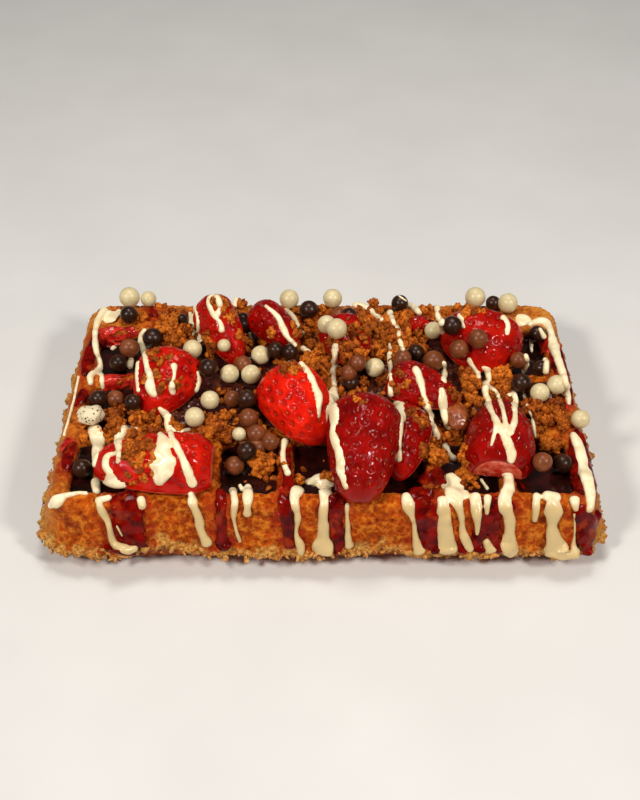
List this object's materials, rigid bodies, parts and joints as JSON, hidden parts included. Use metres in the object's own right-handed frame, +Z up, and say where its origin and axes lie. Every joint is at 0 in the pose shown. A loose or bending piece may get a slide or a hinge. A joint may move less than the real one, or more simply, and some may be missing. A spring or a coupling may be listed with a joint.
{
  "type": "topped waffle",
  "caption": "Rectangular deep-pocketed waffle with dark sauce in its pockets, cut strawberries, small cereal pearls, biscuit crumbs and thick white drizzle.",
  "frame": {"origin": "centre of the underside of the waffle", "axes": "+X along the long side, +Z up out of the topped face, -Y toward the front wall with the drips"},
  "size_m": [0.1906, 0.1166, 0.0512],
  "materials": {
    "waffle_crust": "baked golden crust",
    "chocolate_sauce": "wet and glossy",
    "strawberry": "wet and glossy",
    "white_pearl": "satin",
    "dark_pearl": "polished",
    "milk_pearl": "satin"
  },
  "bodies": {
    "root": {"chocolate_sauce_1_1": "chocolate_sauce", "chocolate_sauce_1_2": "chocolate_sauce", "chocolate_sauce_1_3": "chocolate_sauce", "chocolate_sauce_1_4": "chocolate_sauce", "chocolate_sauce_1_5": "chocolate_sauce", "chocolate_sauce_1_6": "chocolate_sauce", "chocolate_sauce_1_7": "chocolate_sauce", "chocolate_sauce_2_1": "chocolate_sauce", "chocolate_sauce_3_1": "chocolate_sauce", "chocolate_sauce_3_7": "chocolate_sauce", "dark_pearl_01": "dark_pearl", "dark_pearl_02": "dark_pearl", "dark_pearl_03": "dark_pearl", "dark_pearl_04": "dark_pearl", "dark_pearl_05": "dark_pearl", "dark_pearl_06": "dark_pearl", "dark_pearl_07": "dark_pearl", "dark_pearl_08": "dark_pearl", "dark_pearl_09": "dark_pearl", "dark_pearl_10": "dark_pearl", "dark_pearl_11": "dark_pearl", "dark_pearl_12": "dark_pearl", "milk_pearl_01": "milk_pearl", "milk_pearl_02": "milk_pearl", "milk_pearl_03": "milk_pearl", "milk_pearl_04": "milk_pearl", "milk_pearl_05": "milk_pearl", "milk_pearl_06": "milk_pearl", "milk_pearl_07": "milk_pearl", "strawberry_back_left": "strawberry", "strawberry_back_middle": "strawberry", "strawberry_back_piece": "strawberry", "strawberry_centre": "strawberry", "strawberry_front": "strawberry", "strawberry_front_left": "strawberry", "strawberry_front_right": "strawberry", "strawberry_front_side": "strawberry", "strawberry_left": "strawberry", "strawberry_middle": "strawberry", "strawberry_right": "strawberry", "strawberry_right_middle": "strawberry", "waffle": "waffle_crust", "white_pearl_01": "white_pearl", "white_pearl_02": "white_pearl", "white_pearl_03": "white_pearl", "white_pearl_04": "white_pearl", "white_pearl_05": "white_pearl", "white_pearl_06": "white_pearl", "white_pearl_07": "white_pearl", "white_pearl_08": "white_pearl", "white_pearl_09": "white_pearl", "white_pearl_10": "white_pearl", "white_pearl_11": "white_pearl", "white_pearl_12": "white_pearl", "white_pearl_13": "white_pearl", "white_pearl_14": "white_pearl", "white_pearl_15": "white_pearl", "white_pearl_16": "white_pearl", "white_pearl_17": "white_pearl", "white_pearl_18": "white_pearl"}
  },
  "joints": []
}
